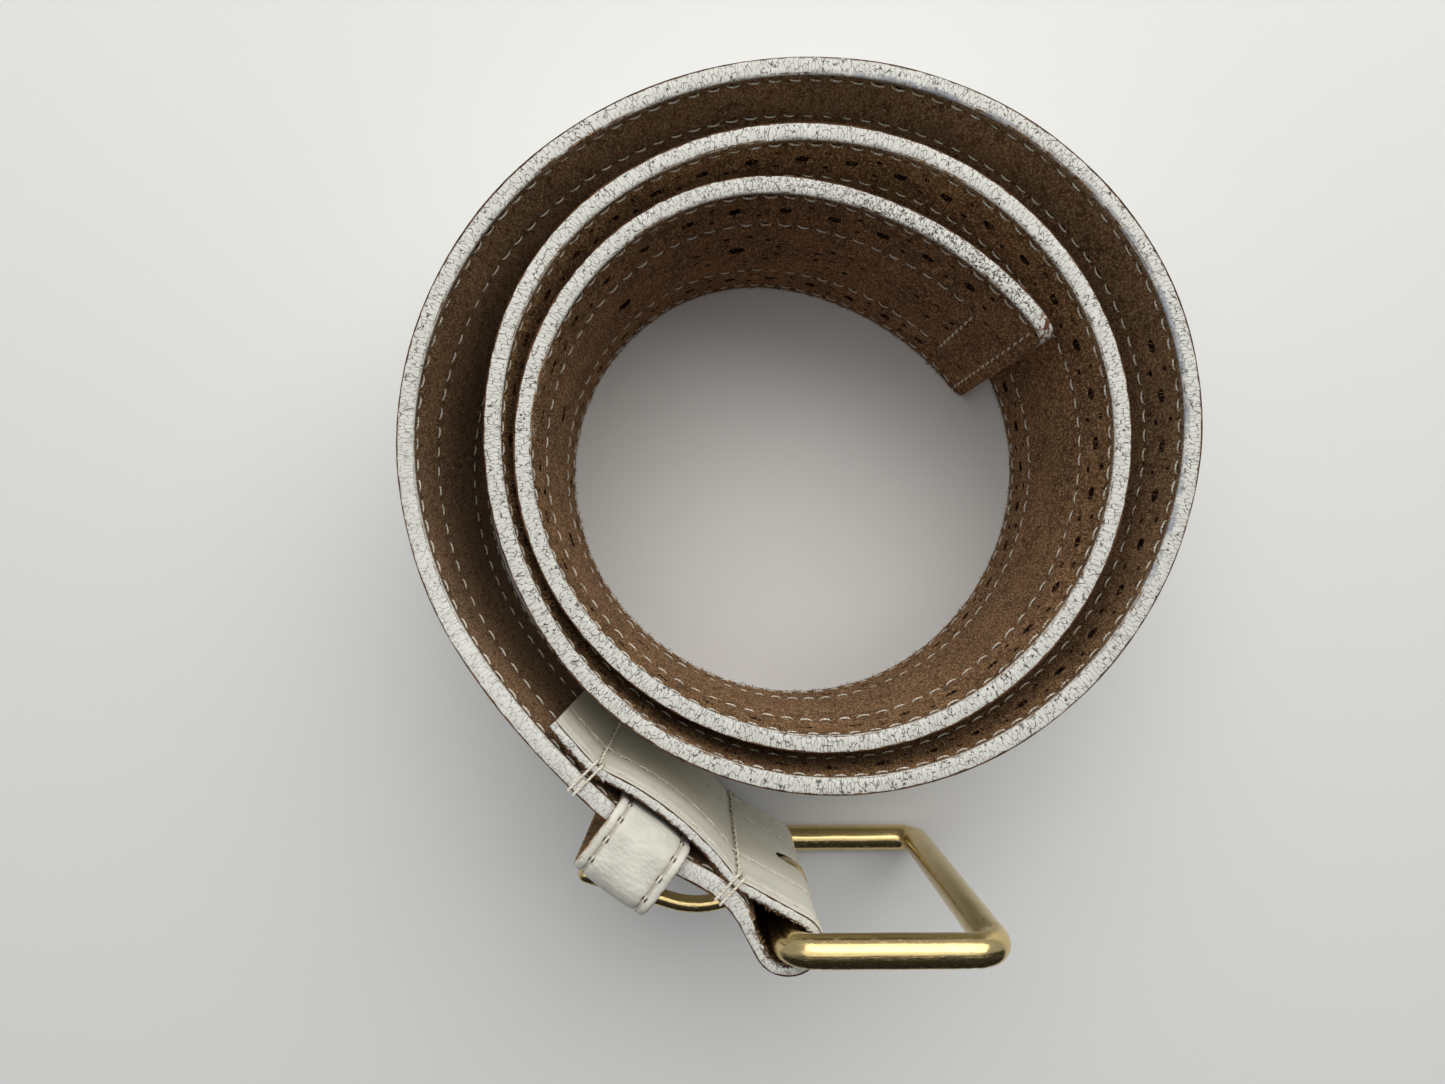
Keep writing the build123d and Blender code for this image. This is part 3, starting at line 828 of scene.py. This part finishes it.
def tie(name, along, back, node):
    """A row through strap and tail, with doubled thread over both edges."""
    station = [float(v) for v in plan(along)]
    centres = along_row(1.0, WIDTH - 0.5)
    parts = [stitches(centres, lambda a, b, up: beside(station, b, HALF + up, a + RISE)),
             stitches(centres, lambda a, b, up: beside(station, b, back - up, a + RISE))]
    proud, leg, reach, wire = 0.16, 0.14, 3.2, 0.21
    turn = np.linspace(0, 1, 22)
    across = np.clip((turn - leg) / (1 - 2 * leg), 0, 1)
    outward = HALF + proud + (back - proud - HALF - proud) * across
    over = WIDTH / 2 + 0.34 - reach * (np.clip(leg - turn, 0, 1) + np.clip(turn - 1 + leg, 0, 1)) / leg
    bow = 0.10 * np.sin(across * math.pi)
    for side in (-1, 1):
        for shift in (-0.52, 0.52):
            height = RISE + WIDTH / 2 + side * (over + bow)
            path = beside(station, shift + 0.2 * (turn - 0.5), outward, height)
            parts.append(tube(path, wire, 8, up=(math.cos(station[2]), math.sin(station[2]), 0)))
    thread_piece(name, "strap", node, *parts)


tie("thread_tail_far", TIE_FAR, FAR_BACK, "tail_stitch_far")
tie("thread_tail_near", TIE_NEAR, NEAR_BACK, "tail_stitch_near")


# ---- buckle -------------------------------------------------------------------------------
def rounded_loop(half_a, half_b, radius, step=0.9):
    """Points, outward normals and distance round a rectangle with rounded corners."""
    flat_a, flat_b = half_a - radius, half_b - radius
    middles = [(flat_a, flat_b), (-flat_a, flat_b), (-flat_a, -flat_b), (flat_a, -flat_b)]
    rows = []
    for k, middle in enumerate(middles):
        for turn in np.radians(np.linspace(90 * k, 90 * k + 90, 13)):
            normal = (math.cos(turn), math.sin(turn))
            rows.append((middle[0] + radius * normal[0], middle[1] + radius * normal[1], *normal))
        last, move = np.array(rows[-1][:2]), np.subtract(middles[(k + 1) % 4], middle)
        count = max(2, int(np.abs(move).sum() / step))
        rows += [(*(last + move * n / count), *normal) for n in range(1, count)]
    rows = np.array(rows)
    around = np.linalg.norm(np.roll(rows[:, :2], -1, axis=0) - rows[:, :2], axis=1)
    return rows[:, :2], rows[:, 2:], np.concatenate([[0], np.cumsum(around)[:-1]])


def buckle_wire():
    """The closed frame of round wire, pinched at the bends of its two upper corners."""
    spot, normal, around = rounded_loop(BAR_GAP / 2, BAR_TALL / 2, FRAME_CORNER, 0.8)
    sides = 28
    turn = np.arange(sides) * 2 * math.pi / sides
    radius = np.full(len(spot), WIRE / 2)
    for corner in (-1, 1):
        middle = np.array([corner * (BAR_GAP / 2 - FRAME_CORNER), BAR_TALL / 2])
        off = np.abs(np.linalg.norm(spot - middle, axis=1))
        radius -= 0.10 * near(off, 0.0, 0.55) + 0.05 * near(off, 1.7, 0.45)
    radius = radius[:, None] * (1 + 0.004 * np.sin(around[:, None] * 0.6 + turn * 2))
    x = BAR_X + BAR_GAP / 2 + spot[:, 0, None] + normal[:, 0, None] * radius * np.cos(turn)
    z = MID_Z + spot[:, 1, None] + normal[:, 1, None] * radius * np.cos(turn)
    y = BAR_Y + radius * np.sin(turn)
    points = np.stack([x, y, z], -1)
    lay = stacked(around[:, None], turn * WIRE / 2, radius)
    make_piece("buckle_wire", lofted(points, lay, closed_path=True), "buckle", [BRASS],
               ["buckle_frame"])


def prong_wire():
    """The prong: a rounded eye on the bar, and a bent shank with a round end."""
    turn = np.arange(56) * 2 * math.pi / 56
    middle = (EYE_INNER + EYE_OUTER) / 2
    spot, _, around = rounded_loop((EYE_OUTER - EYE_INNER) / 2, EYE_HEIGHT / 2, 0.7, 0.5)
    radial = middle + spot[:, 0]
    ring = stacked(BAR_X + EYE_HANG + np.cos(turn)[:, None] * radial,
                   BAR_Y + np.sin(turn)[:, None] * radial, MID_Z + spot[:, 1])
    ring_lay = stacked(turn[:, None] * middle, around, 0 * radial)
    eye = lofted(ring, ring_lay, closed_path=True)
    knee, end = np.array(PRONG_KNEE), np.array(PRONG_END)
    into, out = knee / np.linalg.norm(knee), (end - knee) / np.linalg.norm(end - knee)
    angle = math.acos(into @ out)
    cut = PRONG_BEND * math.tan(angle / 2)
    side = 1 if into[0] * out[1] - into[1] * out[0] > 0 else -1
    centre = knee - into * cut + side * PRONG_BEND * np.array([-into[1], into[0]])
    first = math.atan2(*(knee - into * cut - centre)[::-1])
    arc = [centre + PRONG_BEND * np.array([math.cos(t), math.sin(t)])
           for t in first + side * angle * np.linspace(0, 1, 14)]
    root = into * 3.2
    straight = [root + (arc[0] - root) * t for t in np.linspace(0, 1, 10)[:-1]]
    tail = [arc[-1] + (end - arc[-1]) * t for t in np.linspace(0, 1, 16)[1:]]
    radius, cap = PRONG_WIRE / 2, np.radians((15, 30, 45, 60, 72, 82, 88))
    ball = [end + out * radius * math.sin(t) for t in cap]
    path = np.array(straight + arc + tail + ball)
    size = np.full(len(path), radius)
    size[-len(cap):] = radius * np.cos(cap)
    path = np.column_stack([path + (BAR_X, BAR_Y), np.full(len(path), MID_Z)])
    make_piece("prong_wire", join(eye, tube(path, size, 22)), "tongue", [BRASS], ["prong"])


buckle_wire()
prong_wire()


# ---- keeper -------------------------------------------------------------------------------
keeper_x, keeper_y, keeper_heading = (float(v) for v in plan(KEEPER_AT))
keeper_heading += math.radians(KEEPER_SKEW)
keeper_station = (keeper_x, keeper_y, keeper_heading)
loop_spot, loop_normal, loop_around = rounded_loop(KEEPER_DEPTH / 2, KEEPER_HEIGHT / 2, KEEPER_CORNER, 0.8)
LOOP_LENGTH = float(loop_around[-1]) + 0.8


def keeper_place(across, spot_a, spot_b):
    """A point at a distance across the keeper's width, outward and up from its middle."""
    return beside(keeper_station, across, KEEPER_BACK + KEEPER_DEPTH / 2 + spot_a, MID_Z + spot_b)


def on_keeper(around, across, up):
    """A point above the keeper's surface, at a distance round its loop."""
    around = np.mod(around, LOOP_LENGTH)
    a, b, na, nb = (np.interp(around, loop_around, column, period=LOOP_LENGTH)
                    for column in (*loop_spot.T, *loop_normal.T))
    return keeper_place(across, a + na * up, b + nb * up)


def keeper_layer(name, section, material, replaces):
    """A closed band round the keeper's loop. section is (across, up) points."""
    across, up = np.array(section).T
    wave = 0.05 * ripple(loop_around[:, None] + 0 * across, across + 0 * loop_around[:, None], 5.0, 41)
    lift = up + wave * (up > -0.05)
    points = keeper_place(across[None], loop_spot[:, 0, None] + loop_normal[:, 0, None] * lift,
                          loop_spot[:, 1, None] + loop_normal[:, 1, None] * lift)
    lay = stacked(across[None], loop_around[:, None], lift)
    make_piece(name, lofted(points, lay, closed_path=True), "keeper", [material], replaces,
               crease=50)


def keeper_section():
    """The leather band's section as (across, up) points, sunk under its two stitch rows."""
    across = np.array([-6.5, -6.35, -6.1, -5.7, -5.3, -5.1, -4.9, -4.7, -4.45, -3.9, -3.0, -2.0, -1.0])
    up = np.array([-0.35, -0.12, 0.0, 0.04, -0.02, -0.16, -0.26, -0.16, 0.02, 0.14, 0.20, 0.23, 0.25])
    across = np.concatenate([across, [0], -across[::-1]])
    up = np.concatenate([up, [0.26], up[::-1]])
    return list(zip(across, up)) + [(6.5, -KEEPER_LEATHER), (-6.5, -KEEPER_LEATHER)]


keeper_layer("keeper_band", keeper_section(), KEEPER_WHITE, ["keeper_leather"])
keeper_layer("keeper_inside",
             [(-6.5, -0.72), (6.5, -0.72), (6.6, -0.9), (6.45, -KEEPER_INSIDE), (3, -KEEPER_INSIDE + 0.03),
              (-3, -KEEPER_INSIDE + 0.03), (-6.45, -KEEPER_INSIDE), (-6.6, -0.9)],
             SUEDE, ["keeper_lining"])

keeper_centres = (np.arange(int(LOOP_LENGTH / KEEPER_STITCH)) + 0.5) * KEEPER_STITCH
for name, row, node in (("keeper_thread_left", -KEEPER_ROW, "keeper_row_left"),
                        ("keeper_thread_right", KEEPER_ROW, "keeper_row_right")):
    thread_piece(name, "keeper", node, stitches(
        keeper_centres, lambda a, b, up: on_keeper(a, row + b, up - 0.33), length=2.3, slant=0.1))

seam = [stitches(along_row(-11.0, 11.0),
                 lambda a, b, up: keeper_place(shift + b, -KEEPER_DEPTH / 2 - up, a))
        for shift in (-2.0, 2.0)]
thread_piece("keeper_seam_thread", "keeper", "keeper_seam", *seam)


# ---- loose fibres of the suede ------------------------------------------------------------
def fibres(name, along, height, outward, reach=(0.35, 1.0), thick=0.07):
    """Small bent spikes of seven points each, pointing inward off the strap."""
    count = len(along)
    length = rng.uniform(*reach, count)
    lean_a, lean_h = rng.normal(0, 0.55, count) * length, rng.normal(-0.1, 0.6, count) * length
    turn = rng.uniform(0, 6.28, count)[:, None] + np.arange(3) * 2 * math.pi / 3
    wide = (thick * rng.uniform(0.7, 1.3, count))[:, None]
    root_a, root_h = along[:, None] + wide * np.cos(turn), height[:, None] + wide * np.sin(turn)
    root_o = np.broadcast_to((outward + 0.12)[:, None], root_a.shape)
    bend_a, bend_h = root_a + 0.5 * lean_a[:, None], root_h + 0.5 * lean_h[:, None]
    bend_a = bend_a - wide * 0.3 * np.cos(turn)
    bend_h = bend_h - wide * 0.3 * np.sin(turn)
    bend_o = root_o - 0.65 * length[:, None]
    a = np.concatenate([root_a, bend_a, (along + lean_a * 1.3)[:, None]], 1)
    h = np.maximum(np.concatenate([root_h, bend_h, (height + lean_h * 1.3)[:, None]], 1), 0.2)
    o = np.concatenate([root_o, bend_o, (outward - 0.9 * length)[:, None]], 1)
    spike = [[0, 2, 1], [0, 1, 4, 3], [1, 2, 5, 4], [2, 0, 3, 5], [3, 4, 6], [4, 5, 6], [5, 3, 6]]
    faces = [[i + 7 * k for i in face] for k in range(count) for face in spike]
    shape = strap_point(a, h, o).reshape(-1, 3), faces, np.stack([a, h, o], -1).reshape(-1, 3)
    make_piece(name, shape, "strap", [FIBRE])


def nap():
    """The suede's loose fibres, most of them below its upper edge, and those of the raw edge."""
    high, spread, low = 8000, 5000, 900
    first, free_end, inner_end = 0.5, 790, 330
    along = np.concatenate([rng.uniform(first, free_end, high), rng.uniform(first, free_end, spread),
                            rng.uniform(first, inner_end, low)])
    height = np.concatenate([WIDTH - 0.9 - rng.gamma(1.6, 3.0, high), rng.uniform(4, 50, spread),
                             rng.uniform(0.6, 3.0, low)])
    height = np.clip(tip_height(along, height), 1.0, WIDTH - 0.9)
    fibres("suede_nap", along, height, -HALF - bulge(along, height))
    along = np.concatenate([rng.uniform(LINED + 1, END - 1, 700), rng.uniform(908, END - 1, 300)])
    x, y, _ = plan(along)
    across = (x - keeper_x) * math.cos(keeper_heading) + (y - keeper_y) * math.sin(keeper_heading)
    along = along[np.abs(across) > KEEPER_WIDTH / 2 + 3.6]
    height = WIDTH - 0.15 - rng.gamma(1.3, 0.9, len(along))
    fibres("raw_edge_fibres", along, height, np.full(len(along), JOIN), reach=(0.25, 0.7))


nap()


# ---- floor, light and camera --------------------------------------------------------------
FLOOR = 4.0                     # half its side, in metres, as everything round the object
CAMERA_AT, CAMERA_AIM = (-15.48, -8.94, 230.45), (-11.47, -4.56, 0.0)       # millimetres


def stage_quad(name, size, dark, light, roughness, corners, **fixed):
    """One flat face that isn't part of the object, faintly mottled. size is of the mottling."""
    m = Finish(name, **fixed)
    coordinate = m.add("TexCoord")
    node = m.add("TexNoise")
    m.put(node.inputs["Vector"], coordinate.outputs["Object"])
    node.inputs["Scale"].default_value = 1 / size
    m.colour = m.mix(node.outputs["Fac"], srgb(*dark), srgb(*light))
    mesh = bpy.data.meshes.new(name)
    mesh.from_pydata(corners, [], [(0, 1, 2, 3)])
    mesh.materials.append(m.finish(roughness))
    piece = add_object(name, mesh)
    return piece


def dark_card(name, corners, shades):
    """A dark card that the camera doesn't see. Unless it shades, it shows only in reflections."""
    piece = stage_quad(name, 0.2, (22, 22, 24), (34, 34, 36), 0.9, corners)
    piece.visible_camera = False
    piece.visible_diffuse = piece.visible_shadow = shades


def area_light(name, spot, target, size, power, colour):
    """A soft rectangular light. Its places and size are in metres."""
    light = bpy.data.lights.new(name, "AREA")
    light.shape = "RECTANGLE"
    light.size, light.size_y = size
    light.energy = power
    light.color = colour
    lamp = add_object(name, light)
    lamp.location = spot
    lamp.rotation_mode = "QUATERNION"
    lamp.rotation_quaternion = (Vector(target) - Vector(spot)).to_track_quat("-Z", "Y")


def surroundings():
    """Even, slightly blue light from all round, a little stronger from the far side."""
    world = bpy.data.worlds.new("studio")
    bpy.context.scene.world = world
    world.use_nodes = True
    tree = world.node_tree
    background = tree.nodes["Background"]
    coordinate = tree.nodes.new("ShaderNodeTexCoord")
    split = tree.nodes.new("ShaderNodeSeparateXYZ")
    tree.links.new(coordinate.outputs["Generated"], split.inputs[0])
    ramp = tree.nodes.new("ShaderNodeMapRange")
    tree.links.new(split.outputs["Y"], ramp.inputs["Value"])
    for name, number in zip(("From Min", "From Max", "To Min", "To Max"), (-1.0, 1.0, 0.38, 0.48)):
        ramp.inputs[name].default_value = number
    tree.links.new(ramp.outputs["Result"], background.inputs["Strength"])
    background.inputs["Color"].default_value = (0.90, 0.94, 1.0, 1)


def camera():
    """Almost straight above the roll."""
    data = bpy.data.cameras.new("camera")
    data.lens, data.sensor_width = 27.03, 36.0
    data.clip_start = 0.01
    eye = add_object("camera", data)
    eye.location = Vector(CAMERA_AT) * MM
    eye.rotation_mode = "QUATERNION"
    back = (eye.location - Vector(CAMERA_AIM) * MM).normalized()
    right = Vector((0, 1, 0)).cross(back).normalized()
    eye.rotation_quaternion = Matrix((right, back.cross(right), back)).transposed().to_quaternion()
    bpy.context.scene.camera = eye


stage_quad("floor", 1 / 3, (222, 222, 221), (227, 227, 226), 0.7,
           [(-FLOOR, -FLOOR, 0), (FLOOR, -FLOOR, 0), (FLOOR, FLOOR, 0), (-FLOOR, FLOOR, 0)],
           Specular_IOR_Level=0.2)
dark_card("low_card", [(-0.5, -0.16, 0.002), (0.8, -0.16, 0.002),
                       (0.8, -0.45, 0.002), (-0.5, -0.45, 0.002)], shades=False)
dark_card("front_card", [(-0.6, -0.35, 0.0), (1.1, -0.18, 0.0),
                         (1.1, -0.14, 0.9), (-0.6, -0.31, 0.9)], shades=True)
surroundings()
area_light("key", (0.10, 0.38, 0.58), (0, 0, 0.03), (0.95, 0.6), 3.8, (1.0, 0.98, 0.92))
area_light("overhead", (-0.10, 0.12, 1.0), (0, 0, 0), (1.1, 0.9), 3.0, (1.0, 0.985, 0.955))
camera()
bpy.context.scene.view_settings.view_transform = "Standard"
